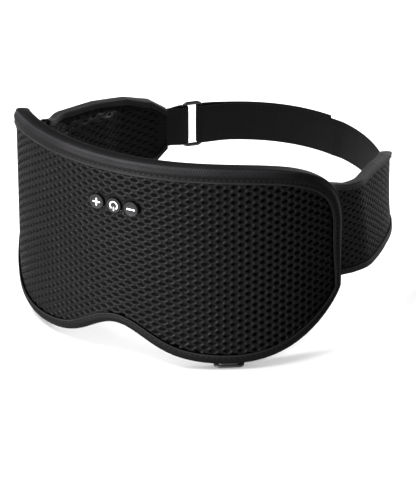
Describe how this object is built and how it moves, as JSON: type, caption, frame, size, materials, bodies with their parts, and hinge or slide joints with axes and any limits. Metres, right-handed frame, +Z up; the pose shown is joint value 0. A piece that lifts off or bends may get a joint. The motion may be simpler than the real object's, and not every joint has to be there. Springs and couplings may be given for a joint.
{
  "type": "eye massager mask",
  "caption": "Curved heated massage mask for the eyes, with push buttons on the brow, speaker wings at the temples, and an elastic head strap on a ring.",
  "frame": {"origin": "middle of the head opening, at half the height of the elastic strap", "axes": "+Z up towards the top of the head, +Y from the mask to the back of the head, +X to the wearer's left"},
  "size_m": [0.1732, 0.1893, 0.1],
  "materials": {
    "mesh_fabric": "black 3-D air-mesh fabric with staggered lens-shaped holes",
    "foam": "dark grey soft foam",
    "lining": "soft black brushed lining",
    "binding": "black woven tape with stitching",
    "pad_fabric": "soft black padded fabric",
    "elastic": "black knitted elastic",
    "hook_tape": "black hook tape",
    "button_rubber": "dark grey matte silicone rubber with pale symbols",
    "black_plastic": "black moulded plastic",
    "ring_plastic": "smooth black moulded plastic",
    "circuit_board": "green solder mask",
    "battery_foil": "silver pouch foil",
    "steel": "plain steel",
    "weight_metal": "sintered heavy metal",
    "heating_film": "copper-coloured film",
    "wire_jacket": "red insulated wire",
    "cone": "dark paper cone"
  },
  "bodies": {
    "mask": {"front_mesh_cover": "mesh_fabric", "left_wing_mesh": "mesh_fabric", "right_wing_mesh": "mesh_fabric", "foam_shell": "foam", "face_liner": "lining", "left_wing_liner": "lining", "right_wing_liner": "lining", "edge_binding": "binding", "left_wing_top_hem": "binding", "right_wing_top_hem": "binding", "left_wing_bottom_hem": "binding", "right_wing_bottom_hem": "binding", "left_eye_pad": "pad_fabric", "right_eye_pad": "pad_fabric", "short_strap": "elastic", "main_strap": "elastic", "strap_fold": "elastic", "control_case_front": "black_plastic", "control_case_back": "black_plastic", "port_bezel": "black_plastic", "left_speaker_frame": "black_plastic", "right_speaker_frame": "black_plastic", "control_board": "circuit_board", "charge_board": "circuit_board", "left_motor_base": "circuit_board", "right_motor_base": "circuit_board", "battery": "battery_foil", "plus_switch": "steel", "power_switch": "steel", "minus_switch": "steel", "usb_socket": "steel", "left_motor_can": "steel", "right_motor_can": "steel", "left_speaker_magnet": "steel", "right_speaker_magnet": "steel", "left_heating_film": "heating_film", "right_heating_film": "heating_film", "left_speaker_harness": "wire_jacket", "right_speaker_harness": "wire_jacket", "left_film_lead": "wire_jacket", "right_film_lead": "wire_jacket", "left_motor_lead": "wire_jacket", "right_motor_lead": "wire_jacket", "charge_lead": "wire_jacket"},
    "plus_button": {"plus_button": "button_rubber", "plus_plunger": "black_plastic"},
    "power_button": {"power_button": "button_rubber", "power_plunger": "black_plastic"},
    "minus_button": {"minus_button": "button_rubber", "minus_plunger": "black_plastic"},
    "left_motor_weight": {"left_motor_weight": "weight_metal"},
    "right_motor_weight": {"right_motor_weight": "weight_metal"},
    "left_speaker_cone": {"left_speaker_cone": "cone"},
    "right_speaker_cone": {"right_speaker_cone": "cone"},
    "strap_ring": {"strap_ring": "ring_plastic"},
    "strap_tail": {"strap_tail": "elastic", "hook_patch": "hook_tape"}
  },
  "joints": [
    {"name": "plus_press", "type": "slide", "parent": "mask", "child": "plus_button", "axis": [0, 1, 0], "range_m": [0, 0.0005], "stiffness_N_per_m": 600},
    {"name": "power_press", "type": "slide", "parent": "mask", "child": "power_button", "axis": [0, 1, 0], "range_m": [0, 0.0005], "stiffness_N_per_m": 600},
    {"name": "minus_press", "type": "slide", "parent": "mask", "child": "minus_button", "axis": [0, 1, 0], "range_m": [0, 0.0005], "stiffness_N_per_m": 600},
    {"name": "left_motor_spin", "type": "hinge", "parent": "mask", "child": "left_motor_weight", "pos_m": [0.07, -0.03805, 0.006], "axis": [-0.8109, 0.5851, 0], "continuous": true},
    {"name": "right_motor_spin", "type": "hinge", "parent": "mask", "child": "right_motor_weight", "pos_m": [-0.07, -0.03805, 0.006], "axis": [0.8109, 0.5851, 0], "continuous": true},
    {"name": "left_cone_travel", "type": "slide", "parent": "mask", "child": "left_speaker_cone", "axis": [-0.9768, -0.1682, -0.1325], "range_m": [-0.00035, 0.00035], "stiffness_N_per_m": 800},
    {"name": "right_cone_travel", "type": "slide", "parent": "mask", "child": "right_speaker_cone", "axis": [0.9768, -0.1682, -0.1325], "range_m": [-0.00035, 0.00035], "stiffness_N_per_m": 800},
    {"name": "ring_rock", "type": "hinge", "parent": "mask", "child": "strap_ring", "pos_m": [-0.05062, 0.08834, 0], "axis": [0, 0, 1], "range_deg": [-8, 8]},
    {"name": "tail_peel", "type": "hinge", "parent": "mask", "child": "strap_tail", "pos_m": [-0.04734, 0.09163, 0], "axis": [0, 0, 1], "range_deg": [0, 70], "deforming": ["strap_fold"]}
  ]
}
